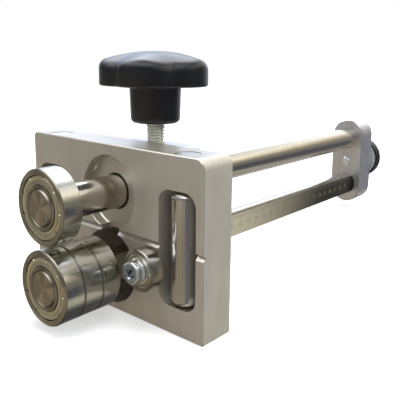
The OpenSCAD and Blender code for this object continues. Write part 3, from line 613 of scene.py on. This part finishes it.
class BENDER_OT_rods(bpy.types.Operator):
    """Finishes the rods and the rear plate, and engraves the ruler"""

    bl_idname = "bender.rods"
    bl_label = "Rods, ruler and rear plate"

    def execute(self, context):
        sizes = context.scene.bender_sizes
        colours = context.scene.bender_colours
        for node in ("upper_rod", "lower_rod"):
            steel = ground_steel("hard_chromed_" + node, colours.rod, node_middle(node), "Y", 0.18, 0.6)
            dress(steel, node)
        self.satin_flat(colours)
        dress(blasted_aluminium("turned_aluminium_plate", colours.plate, 0.7, 0.3, 0.92, 1.0), "rear_plate")
        self.ruler(sizes, colours)
        return {"FINISHED"}

    def satin_flat(self, colours):
        """The milled flat of the lower rod is satin and warmer than the chrome."""
        tree = NODES["lower_rod"].material_slots[0].material.node_tree
        chrome = next(n for n in tree.nodes if n.type == "BSDF_PRINCIPLED")
        output = next(n for n in tree.nodes if n.type == "OUTPUT_MATERIAL")
        place = next(n for n in tree.nodes if n.type == "TEX_COORD").outputs["Object"]
        normal = add(tree, "ShaderNodeNewGeometry").outputs["True Normal"]
        facing = add(tree, "ShaderNodeVectorMath", {0: normal, 1: (1.0, 0.0, 0.0)}, operation="DOT_PRODUCT")
        parts = add(tree, "ShaderNodeSeparateXYZ", {0: place})
        # Only the flat faces squarely to the side at six millimetres from the axis
        square = add(tree, "ShaderNodeMath", {0: facing.outputs[1], 1: 0.9995}, operation="GREATER_THAN")
        inside = add(tree, "ShaderNodeMath", {0: parts.outputs[0], 1: 8 * MM}, operation="LESS_THAN")
        mask = add(
            tree,
            "ShaderNodeMath",
            {0: square.outputs[0], 1: inside.outputs[0]},
            operation="MULTIPLY",
        )
        satin = add(tree, "ShaderNodeBsdfPrincipled", {"Metallic": 0.35, "Roughness": 0.42})
        # Milling lines run along the flat: a third of a millimetre apart, and drawn at half a millimetre
        drawn = add(tree, "ShaderNodeVectorMath", {0: place, 1: (1.0, 0.04, 1.0)}, operation="MULTIPLY")
        lines = add(
            tree, "ShaderNodeTexNoise", {"Vector": drawn.outputs[0], "Scale": 1 / (0.5 * MM), "Detail": 3.0}
        )
        relief(tree, satin, lines.outputs[0], 0.01 * MM, 0.5)
        # Painted shade: it darkens towards the rear plate, where less light reaches it
        rear = add(
            tree,
            "ShaderNodeMapRange",
            {"Value": parts.outputs[1], "From Min": 75 * MM, "From Max": 245 * MM},
            interpolation_type="SMOOTHSTEP",
        )
        cloudy = add(
            tree,
            "ShaderNodeTexNoise",
            {"Vector": drawn.outputs[0], "Scale": 1 / (16 * MM), "Detail": 4.0},
        )
        pale = add(
            tree,
            "ShaderNodeMix",
            {0: cloudy.outputs[0], 6: tint(colours.ruler, 0.9), 7: tint(colours.ruler, 1.08)},
            data_type="RGBA",
        )
        add(
            tree,
            "ShaderNodeMix",
            {0: rear.outputs[0], 6: pale.outputs[2], 7: tint(colours.ruler, 0.06)},
            to=satin.inputs["Base Color"],
            out=2,
            data_type="RGBA",
        )
        both = add(
            tree,
            "ShaderNodeMixShader",
            {0: mask.outputs[0], 1: chrome.outputs[0], 2: satin.outputs[0]},
        )
        tree.links.new(both.outputs[0], output.inputs["Surface"])

    def ruler(self, sizes, colours):
        """Ticks for every millimetre and numerals for every centimetre, a hair above the flat."""
        low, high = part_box("lower_rod")
        plate_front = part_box("rear_plate")[0].y
        guide_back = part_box("guide_block")[1].y
        # The flat is six millimetres from the rod's axis
        face = node_middle("upper_rod").x + 6 * MM + 0.02 * MM
        top = (low.z + high.z) / 2 + 7 * MM
        # The ruler starts under the fence's guide and stops short of the plate
        hidden = 40 * MM
        first = max(math.ceil((guide_back - hidden - sizes.ruler_zero) / MM), 0)
        last = math.floor((plate_front - 1 * MM - sizes.ruler_zero) / MM)
        bm = bmesh.new()
        for step in range(first, last + 1):
            length = 4.2 * MM if step % 10 == 0 else 3.2 * MM if step % 5 == 0 else 2.2 * MM
            half = 0.13 * MM if step % 10 == 0 else 0.1 * MM
            y = sizes.ruler_zero + step * MM
            corners = ((y - half, top - length), (y + half, top - length), (y + half, top), (y - half, top))
            bm.faces.new([bm.verts.new((face, a, b)) for a, b in corners])
        numeral_top = top - 5.2 * MM
        for step in range(10 * math.ceil(max(first, 1) / 10), last - 2, 10):
            self.numeral(bm, sizes, step // 10, face, sizes.ruler_zero + step * MM, numeral_top)
        for f in bm.faces:
            if f.normal.x < 0:
                f.normal_flip()
        marks = new_object("ruler_marks", bm, marking_ink("etched_ruler_ink", colours.ink))
        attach(marks, "rod_frame")

    def numeral(self, bm, sizes, number, face, along, top):
        """Adds one number to the marks, centred on its tick."""
        curve = bpy.data.curves.new("numeral", "FONT")
        curve.body = str(number)
        # The plain font's digits are five sevenths of its size
        curve.size = sizes.numeral_height * 1.4
        curve.align_x = "CENTER"
        holder = bpy.data.objects.new("numeral", curve)
        bpy.context.scene.collection.objects.link(holder)
        dg = bpy.context.evaluated_depsgraph_get()
        drawn = bpy.data.meshes.new_from_object(holder.evaluated_get(dg))
        # The text lies in XY: its X goes along the rod, its Y goes up
        bottom = top - sizes.numeral_height
        rows = ((0, 0, 1, face), (1, 0, 0, along), (0, 1, 0, bottom), (0, 0, 0, 1))
        drawn.transform(Matrix(rows))
        bm.from_mesh(drawn)
        bpy.data.meshes.remove(drawn)
        bpy.data.curves.remove(curve)


class BENDER_OT_bearings(bpy.types.Operator):
    """Finishes the rings, balls and cages of the bearings, and makes their crimped shields"""

    bl_idname = "bender.bearings"
    bl_label = "Bearings"

    def execute(self, context):
        sizes = context.scene.bender_sizes
        colours = context.scene.bender_colours
        balls = turned_steel("polished_balls", colours.ball, 0.08)
        cages = turned_steel("pressed_steel_cages", colours.cage, 0.3)
        for which in ("upper", "front", "middle", "rear", "guide"):
            name = which + "_bearing"
            centre = node_middle(name + "_outer")
            for ring, shade, rough in (("_outer", 1.0, 0.17), ("_inner", 0.82, 0.26)):
                steel = ground_steel("ground_" + name + ring, tint(colours.ring, shade), centre, "Y", rough)
                dress(steel, name + ring)
            dress(balls, name + "_balls")
            dress(cages, name + "_cage")
            self.shields(sizes, colours, which)
        dress(turned_steel("turned_steel_shims", colours.shim), "bearing_shims", "guide_spacer")
        return {"FINISHED"}

    def shields(self, sizes, colours, which):
        """Two pressed discs with a rolled rim, a bead at the bore, and crimps that lock the rim."""
        name = which + "_bearing"
        centre = node_middle(name + "_outer")
        low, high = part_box(name + "_shields")
        depth = high.y - low.y
        rim, land, outer = (node_radius(name + part) for part in ("_shields", "_inner", "_outer"))
        # The inner ring's land takes 0.28 of the space between bore and rim, and its step 0.22
        bore = (land - 0.28 * outer) / 0.72
        hole = bore + 0.22 * (outer - bore) + 0.3 * MM
        # The guide bearing's shields have fewer and smaller forms
        k, crimps = (0.6, sizes.guide_crimps) if which == "guide" else (1.0, sizes.shield_crimps)
        # Distance from the hole, and depth behind the front of the CAD shield
        lip = ((0.0, 0.3), (0.08, 0.06), (0.38, -0.08), (0.8, 0.0), (1.1, 0.16))
        # Distance inside the rim, and depth: the rolled bead and the groove that locks it
        bead = ((2.4, 0.16), (1.95, 0.02), (1.5, -0.18), (1.05, -0.24), (0.68, -0.1), (0.4, 0.2), (0.2, 0.32))
        back = 0.39 * MM
        edge = rim - 0.02 * MM
        profile = [(hole + r * k * MM, t * k * MM) for r, t in lip]
        profile += [(rim - r * k * MM, t * k * MM) for r, t in bead]
        profile += [(edge, 0.3 * k * MM), (edge, back), (hole, back)]
        # The points of the rim that a crimp presses in: from the top of the bead outward
        pressed = range(8, 12)
        step = math.tau / crimps

        def crimp(j, angle, r, t):
            """Presses a notch into the rolled bead at every step round the rim."""
            off = abs((angle + step / 2) % step - step / 2) * rim
            if off < 0.6 * k * MM and j in pressed:
                return r - 0.2 * k * MM, min(t + sizes.crimp_depth * k, 0.36 * MM)
            return r, t

        def crimp_back(j, angle, r, t):
            """The same notch in the shield on the other side."""
            r, t = crimp(j, angle, r, depth - t)
            return r, depth - t

        bm = bmesh.new()
        spot = (centre.x, low.y, centre.z)
        turn_profile(bm, profile, spot, "Y", 270, crimp)
        turn_profile(bm, [(r, depth - t) for r, t in profile], spot, "Y", 270, crimp_back)
        body = which + "_outer_ring"
        gold = shield_steel("pressed_shield_" + which, colours.shield, centre, depth / 2)
        new_piece(name + "_pressed_shields", bm, body, gold, [name + "_shields"])


class BENDER_OT_guide_screw(bpy.types.Operator):
    """Makes the cross recess screw of the guide bearing and finishes its washers"""

    bl_idname = "bender.guide_screw"
    bl_label = "Guide bearing screw"

    def execute(self, context):
        sizes = context.scene.bender_sizes
        colours = context.scene.bender_colours
        low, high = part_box("guide_screw")
        face = (low + high) / 2
        face.y = low.y
        zinc = zinc_plate("bright_zinc_guide_screw", colours.zinc, 0.2, 0.95, (face, 3.6 * MM, 0.7 * MM))
        head = node_radius("guide_screw")
        head_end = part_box("guide_spring_washer")[0].y - low.y
        shank = 4.0 * MM
        total = high.y - low.y
        edge = 1.1 * MM
        profile = [(0, 0.0), (head - edge - 0.5 * MM, 0.0)]
        profile += arc((head - edge, edge), edge, -90, 0, 6)
        bevel = 0.2 * MM
        point = 0.6 * MM
        profile += [(head, head_end - bevel), (head - bevel, head_end), (shank, head_end)]
        profile += [(shank, total - point), (shank - point, total), (0, total)]
        bm = bmesh.new()
        turn_profile(bm, profile, face, "Y", 64)
        body = self.loose(bm, "guide_screw_body")
        cutter = self.loose(self.cross(sizes, face), "guide_screw_cross")
        cut = body.modifiers.new("cross", "BOOLEAN")
        cut.operation = "DIFFERENCE"
        cut.solver = "EXACT"
        cut.object = cutter
        dg = bpy.context.evaluated_depsgraph_get()
        done = bpy.data.meshes.new_from_object(body.evaluated_get(dg))
        bm = bmesh.new()
        bm.from_mesh(done)
        # A mesh takes the object that shows it along
        for mesh in (body.data, cutter.data, done):
            bpy.data.meshes.remove(mesh)
        new_piece("guide_cross_screw", bm, "fence", zinc, ["guide_screw"], 30)
        dress(zinc_plate("bright_zinc_washers", colours.zinc, 0.26), "guide_washer", "guide_spring_washer")
        return {"FINISHED"}

    def loose(self, bm, name):
        """A passing object for the cut."""
        bmesh.ops.recalc_face_normals(bm, faces=bm.faces[:])
        return new_object(name, bm)

    def cross(self, sizes, face):
        """Four tapering wings round a cone, as the punch leaves them."""
        bm = bmesh.new()
        deep = sizes.cross_depth
        up = 0.5 * MM
        half = 0.95
        tip = 3.3
        corner = ((half, tip), (-half, tip), (-half, half))
        # Each wing is the one before it, turned a quarter
        outline = []
        for c, q in ((1, 0), (0, 1), (-1, 0), (0, -1)):
            outline += [(x * c - z * q, x * q + z * c) for x, z in corner]
        tilt = Matrix.Rotation(math.radians(24), 3, "Y")
        rings = []
        for along, wide, long in ((-up, 1.06, 1.1), (deep * 0.55, 0.8, 0.72), (deep, 0.55, 0.34)):
            ring = []
            for x, z in outline:
                sx = wide if abs(x) < tip else long
                sz = wide if abs(z) < tip else long
                spot = tilt @ Vector((x * sx * MM, along, z * sz * MM))
                ring.append(bm.verts.new(spot + face))
            rings.append(ring)
        for a, b in zip(rings, rings[1:]):
            for i in range(12):
                j = (i + 1) % 12
                bm.faces.new((a[i], a[j], b[j], b[i]))
        bm.faces.new(rings[0])
        bm.faces.new(rings[-1])
        return bm


class BENDER_OT_clamp(bpy.types.Operator):
    """Makes the star knob and the threaded stud, and finishes the brass pad"""

    bl_idname = "bender.clamp"
    bl_label = "Clamp"

    def execute(self, context):
        sizes = context.scene.bender_sizes
        colours = context.scene.bender_colours
        dress(turned_steel("turned_brass_pad", colours.pad, 0.3), "clamp_pad")
        self.stud(sizes, colours)
        self.knob(sizes, colours)
        return {"FINISHED"}

    def stud(self, sizes, colours):
        """A rolled thread up to a plain neck under the knob."""
        low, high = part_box("clamp_stud")
        knob_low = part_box("star_knob")[0].z
        centre = (low + high) / 2
        major = (high.x - low.x) / 2
        pitch = sizes.stud_pitch
        # Depth of an ISO thread is 0.61 of its pitch
        root = major - 0.61 * pitch
        form = [0.0, 0.0, 0.33, 0.67, 1.0, 1.0, 0.67, 0.33]
        thread_top = knob_low - sizes.stud_neck
        lead_in = 0.9 * MM
        bm = bmesh.new()
        around = 72
        rows = len(form)
        turns = math.ceil((thread_top - low.z) / pitch) + 2
        count = (turns + 1) * rows
        grid = {}
        for i in range(around):
            angle = math.tau * i / around
            for j in range(count):
                z = low.z + pitch * ((j - rows) / rows + i / around)
                r = major - (major - root) * form[j % rows]
                # The thread runs out over the last turn, and its start is bevelled
                r = min(r, major - lead_in + max(z - low.z, 0))
                z = min(max(z, low.z), thread_top)
                spot = (centre.x + r * math.cos(angle), centre.y + r * math.sin(angle), z)
                grid[i, j] = bm.verts.new(spot)
        for i in range(around):
            # After one turn the grid meets itself, one pitch higher
            k, lift = (i + 1, 0) if i + 1 < around else (0, rows)
            for j in range(count - 1 - lift):
                bm.faces.new((grid[i, j], grid[k, j + lift], grid[k, j + lift + 1], grid[i, j + 1]))
        bmesh.ops.remove_doubles(bm, verts=bm.verts[:], dist=1e-7)
        bmesh.ops.dissolve_degenerate(bm, edges=bm.edges[:], dist=1e-7)
        # The neck starts inside the thread
        neck = 5.45 * MM
        core = root - 0.1 * MM
        shoulder = thread_top - low.z
        buried = shoulder - 1 * MM
        end = high.z - low.z
        profile = [(0, buried), (core, buried), (core, shoulder)]
        profile += [(neck, shoulder + 0.2 * MM), (neck, end), (0, end)]
        turn_profile(bm, profile, (centre.x, centre.y, low.z), "Z", 72)
        zinc = zinc_plate("bright_zinc_clamp_stud", colours.stud, 0.24, 0.92)
        new_piece("threaded_clamp_stud", bm, "knob", zinc, ["clamp_stud"], 50)

    def knob(self, sizes, colours):
        """Lobes that run smoothly into valleys, a domed top, and a tapered hub."""
        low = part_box("star_knob")[0]
        axis = node_middle("clamp_stud")
        bore = node_radius("clamp_stud") + 0.02 * MM
        lobes = sizes.knob_lobes
        lobe_r = sizes.knob_lobe
        valley_r = sizes.knob_valley
        dome = sizes.knob_dome
        shoulder = sizes.knob_shoulder
        first_lobe = math.radians(-60)
        # A valley's centre lies where its arc touches the lobes on both sides
        half = math.pi / lobes
        lobe_c = sizes.knob_reach - lobe_r
        apart = lobe_r + valley_r
        valley_c = lobe_c * math.cos(half) + math.sqrt(apart**2 - (lobe_c * math.sin(half)) ** 2)
        share = lobe_r / apart
        meet_x = lobe_c + (valley_c * math.cos(half) - lobe_c) * share
        meet_y = valley_c * math.sin(half) * share
        meet = math.atan2(meet_y, meet_x)
        head = low.z + sizes.knob_hub
        top = head + sizes.knob_head
        base = top - dome
        under = 1.5 * MM
        fillet = 1.2 * MM
        hub_top = 15.9 * MM
        hub_low = 15.3 * MM
        hub_round = 3.0 * MM
        # Valleys start to fall away at this distance from the axis
        inner = 14 * MM

        def outline(angle):
            """Distance from the axis to the edge of the head."""
            off = (angle - first_lobe) % (2 * half)
            off = min(off, 2 * half - off)
            if off < meet:
                return lobe_c * math.cos(off) + math.sqrt(lobe_r**2 - (lobe_c * math.sin(off)) ** 2)
            off -= half
            return valley_c * math.cos(off) - math.sqrt(valley_r**2 - (valley_c * math.sin(off)) ** 2)

        def section(angle):
            """Half a section of the knob: radius and height, from the dome round to the bore."""
            edge = outline(angle)
            away = (1 - math.cos((angle - first_lobe) * lobes)) / 2

            def sink(r):
                """A valley falls away from the dome before it turns down."""
                return sizes.knob_sink * away * (max(r - inner, 0) / (edge - inner)) ** 1.2

            sx = edge - shoulder
            sz = base + math.sqrt((dome - shoulder) ** 2 - sx**2)
            end = math.atan2(sz - base, sx)
            radii = [dome * math.cos(end) * (i / 12) ** 0.85 for i in range(1, 13)]
            points = [(r, base + math.sqrt(dome**2 - r**2)) for r in radii]
            points += arc((sx, sz), shoulder, math.degrees(end), 0, 12)[1:]
            points = [(r, z - sink(r)) for r, z in points]
            rim = sz - sink(edge)
            points += [(edge, rim + (head + under - rim) * i / 4) for i in range(1, 4)]
            points += arc((edge - under, head + under), under, 0, -90, 6)
            points.append(((edge + hub_top) / 2, head))
            points += arc((hub_top + fillet, head - fillet), fillet, 90, 180, 3)
            taper = hub_low - hub_top
            drop = low.z + hub_round - (head - fillet)
            points += [(hub_top + taper * i / 6, head - fillet + drop * i / 6) for i in range(1, 6)]
            points += arc((hub_low - hub_round, low.z + hub_round), hub_round, 0, -90, 6)
            points += [(bore, low.z), (bore, low.z + 6 * MM)]
            return points

        bm = bmesh.new()
        around = 300
        rings = []
        for i in range(around):
            angle = math.tau * i / around
            c, q = math.cos(angle), math.sin(angle)
            rings.append([bm.verts.new((axis.x + r * c, axis.y + r * q, z)) for r, z in section(angle)])
        crown = bm.verts.new((axis.x, axis.y, top))
        for i in range(around):
            a, b = rings[i], rings[(i + 1) % around]
            bm.faces.new((crown, a[0], b[0]))
            for j in range(len(a) - 1):
                bm.faces.new((a[j], a[j + 1], b[j + 1], b[j]))
        plastic = moulded_phenolic("moulded_black_phenolic_knob", colours.knob)
        new_piece("moulded_star_knob", bm, "knob", plastic, ["star_knob"], 50)


class BENDER_OT_buffer(bpy.types.Operator):
    """Finishes the rubber buffer behind the rear plate, with its stud, nut and disc"""

    bl_idname = "bender.buffer"
    bl_label = "Rear buffer"

    def execute(self, context):
        colours = context.scene.bender_colours
        dress(moulded_rubber("moulded_black_rubber", colours.buffer), "rear_buffer")
        zinc = zinc_plate("bright_zinc_buffer_parts", colours.zinc, 0.24, 0.75)
        dress(zinc, "buffer_disc", "buffer_nut", "buffer_stud")
        return {"FINISHED"}


class BENDER_OT_stage(bpy.types.Operator):
    """Builds the pale floor, the studio tent that the metal mirrors, the lamps, the world and the camera"""

    bl_idname = "bender.stage"
    bl_label = "Studio and camera"

    def execute(self, context):
        self.floor()
        self.tent()
        self.lamps()
        self.world(context)
        self.camera(context)
        context.scene.view_settings.view_transform = "Standard"
        return {"FINISHED"}

    def place(self, name, bm, material):
        """A piece of the studio, which is no part of the tool."""
        made = new_object(name, bm, material)
        return made

    def floor(self):
        """Matt white paper, which the camera sees as white and which keeps the tool's shadow."""
        paper = bpy.data.materials.new("white_backdrop_paper")
        tree = bare_tree(paper)
        lit = add(tree, "ShaderNodeBsdfDiffuse", {"Color": linear("#F4F4F4")})
        level = add(tree, "ShaderNodeMath", {0: straight_rays(tree), 1: 0.4}, operation="MULTIPLY")
        white = linear("#FFFFFF")
        glow = add(tree, "ShaderNodeEmission", {"Color": white, "Strength": level.outputs[0]})
        both = add(tree, "ShaderNodeAddShader", {0: lit.outputs[0], 1: glow.outputs[0]})
        add(tree, "ShaderNodeOutputMaterial", {"Surface": both.outputs[0]})
        bm = bmesh.new()
        bmesh.ops.create_grid(bm, x_segments=1, y_segments=1, size=8.0)
        sheet = self.place("backdrop_floor", bm, paper)
        # The tool mirrors the tent's own table in place of the paper
        sheet.visible_glossy = False

    def bands(self, tree, up, levels):
        """Bands of light from straight down to straight up, for one side of the tent."""
        ramp = add(tree, "ShaderNodeValToRGB", {0: up})
        stops = ramp.color_ramp.elements
        while len(stops) < len(levels):
            stops.new(0.5)
        for stop, (degrees, code) in zip(stops, levels):
            stop.position = (math.sin(math.radians(degrees)) + 1) / 2
            stop.color = linear(code)
        return ramp.outputs[0]

    def tent(self):
        """A light tent for reflections alone: bright cloth behind and beside the tool, and a tan table."""
        cloth = bpy.data.materials.new("studio_tent_cloth")
        tree = bare_tree(cloth)
        place = add(tree, "ShaderNodeTexCoord").outputs["Object"]
        way = add(tree, "ShaderNodeVectorMath", {0: place}, operation="NORMALIZE").outputs[0]
        parts = add(tree, "ShaderNodeSeparateXYZ", {0: way}).outputs
        up = add(tree, "ShaderNodeMapRange", {"Value": parts[2], "From Min": -1.0}).outputs[0]
        front, camera, left, behind, right = (
            self.bands(tree, up, levels)
            for levels in (TENT_FRONT, TENT_CAMERA, TENT_LEFT, TENT_BEHIND, TENT_RIGHT)
        )

        def blend(first, second, value, start, end):
            """One side of the tent goes over into the next."""
            share = add(
                tree,
                "ShaderNodeMapRange",
                {"Value": value, "From Min": start, "From Max": end},
                interpolation_type="SMOOTHSTEP",
            )
            mixed = add(tree, "ShaderNodeMix", {0: share.outputs[0], 6: first, 7: second}, data_type="RGBA")
            return mixed.outputs[2]

        near = blend(front, camera, parts[0], 0.3, 0.65)
        far = blend(blend(left, behind, parts[0], -0.48, -0.32), right, parts[0], -0.15, 0.35)
        final = blend(near, far, parts[1], -0.12, 0.25)
        # The cloth hangs in upright folds, which streak the rods and rollers
        hung = add(tree, "ShaderNodeVectorMath", {0: way, 1: (1.0, 1.0, 0.12)}, operation="MULTIPLY")
        folds = add(tree, "ShaderNodeTexNoise", {"Vector": hung.outputs[0], "Scale": 3.4, "Detail": 2.5})
        level = add(
            tree,
            "ShaderNodeMapRange",
            {
                "Value": folds.outputs[0],
                "From Min": 0.33,
                "From Max": 0.67,
                "To Min": 0.78 * TENT_LIGHT,
                "To Max": 1.2 * TENT_LIGHT,
            },
        )
        # The cloth's far left corner gets less light
        corner = add(
            tree,
            "ShaderNodeMapRange",
            {"Value": parts[0], "From Min": -0.86, "From Max": -0.68, "To Min": 0.74, "To Max": 1.0},
        )
        dimmed = add(
            tree,
            "ShaderNodeMath",
            {0: level.outputs[0], 1: corner.outputs[0]},
            operation="MULTIPLY",
        )
        glow = add(tree, "ShaderNodeEmission", {"Color": final, "Strength": dimmed.outputs[0]})
        add(tree, "ShaderNodeOutputMaterial", {"Surface": glow.outputs[0]})
        bm = bmesh.new()
        bmesh.ops.create_icosphere(bm, subdivisions=5, radius=3.0)
        tent = self.place("studio_tent", bm, cloth)
        tent.location = (0.0, 0.1, 0.06)
        tent.visible_camera = False
        tent.visible_diffuse = False
        tent.visible_shadow = False
        tent.visible_transmission = False

    def lamps(self):
        """Two soft lamps for what isn't metal: the metal mirrors the tent instead."""
        for name, spot, size, power, colour in (
            ("overhead_softbox", (0.1, 0.35, 0.95), 1.1, 14.0, "#FFFFFF"),
            ("side_softbox", (0.9, 0.3, 0.4), 0.8, 6.8, "#E6F3F5"),
        ):
            data = bpy.data.lights.new(name, "AREA")
            data.shape = "SQUARE"
            data.size = size
            data.energy = power
            data.color = linear(colour)[:3]
            lamp = bpy.data.objects.new(name, data)
            bpy.context.scene.collection.objects.link(lamp)
            lamp.location = spot
            aim = Vector((0.0, 0.1, 0.05)) - Vector(spot)
            lamp.rotation_euler = aim.to_track_quat("-Z", "Y").to_euler()
            lamp.visible_glossy = False

    def world(self, context):
        """White all round for the camera, and a little dimmer as light."""
        world = bpy.data.worlds.new("studio_air")
        context.scene.world = world
        tree = bare_tree(world)
        rays = straight_rays(tree)
        level = add(tree, "ShaderNodeMapRange", {"Value": rays, "To Min": 0.75, "To Max": 1.0})
        white = linear("#FFFFFF")
        air = add(tree, "ShaderNodeBackground", {"Color": white, "Strength": level.outputs[0]})
        add(tree, "ShaderNodeOutputWorld", {"Surface": air.outputs[0]})

    def camera(self, context):
        """Stands where the photographer stood, a little above the knob."""
        data = bpy.data.cameras.new("photo_camera")
        # Fitted to the tool's edges: focal length and picture width in pixels, turns in radians
        focal, picture = 563.09, 400
        yaw, pitch, roll = -0.7115, -0.1854, 0.0096
        spot = Vector((249.68, -218.93, 151.04)) * MM
        data.sensor_width = 36.0
        data.lens = focal * data.sensor_width / picture
        # The frame is lowered so that the tool stays whole when it is seen from other sides
        data.shift_y = -0.1
        data.clip_start = 0.01
        data.clip_end = 50.0
        ahead = Vector((math.sin(yaw) * math.cos(pitch), math.cos(yaw) * math.cos(pitch), math.sin(pitch)))
        right = Vector((math.cos(yaw), -math.sin(yaw), 0.0))
        up = right.cross(ahead)
        across = right * math.cos(roll) + up * math.sin(roll)
        upward = up * math.cos(roll) - right * math.sin(roll)
        camera = bpy.data.objects.new("photo_camera", data)
        bpy.context.scene.collection.objects.link(camera)
        turn = Matrix((across, upward, -ahead)).transposed().to_4x4()
        camera.matrix_world = Matrix.Translation(spot) @ turn
        context.scene.camera = camera


class BENDER_PT_panel(bpy.types.Panel):
    """Lists the steps, sizes and colours of the edge bender"""

    bl_idname = "BENDER_PT_panel"
    bl_label = "Edge bender"
    bl_space_type = "VIEW_3D"
    bl_region_type = "UI"
    bl_category = "Edge bender"

    def draw(self, context):
        for step in STEPS:
            self.layout.operator(step.bl_idname)
        for group in (context.scene.bender_sizes, context.scene.bender_colours):
            box = self.layout.box()
            for key in group.__annotations__:
                box.prop(group, key)


STEPS = (
    BENDER_OT_blocks,
    BENDER_OT_rollers,
    BENDER_OT_rods,
    BENDER_OT_bearings,
    BENDER_OT_guide_screw,
    BENDER_OT_clamp,
    BENDER_OT_buffer,
    BENDER_OT_stage,
)
CLASSES = (BenderSizes, BenderColours, *STEPS, BENDER_PT_panel)


def register():
    """Adds the classes, and their settings on the scene."""
    for item in CLASSES:
        bpy.utils.register_class(item)
    bpy.types.Scene.bender_sizes = bpy.props.PointerProperty(type=BenderSizes)
    bpy.types.Scene.bender_colours = bpy.props.PointerProperty(type=BenderColours)


def unregister():
    """Takes the settings and the classes away again."""
    del bpy.types.Scene.bender_colours
    del bpy.types.Scene.bender_sizes
    for item in reversed(CLASSES):
        bpy.utils.unregister_class(item)


def main():
    """Makes every piece and the studio."""
    register()
    bpy.ops.bender.blocks()
    bpy.ops.bender.rollers()
    bpy.ops.bender.rods()
    bpy.ops.bender.bearings()
    bpy.ops.bender.guide_screw()
    bpy.ops.bender.clamp()
    bpy.ops.bender.buffer()
    bpy.ops.bender.stage()


if __name__ == "__main__":
    main()
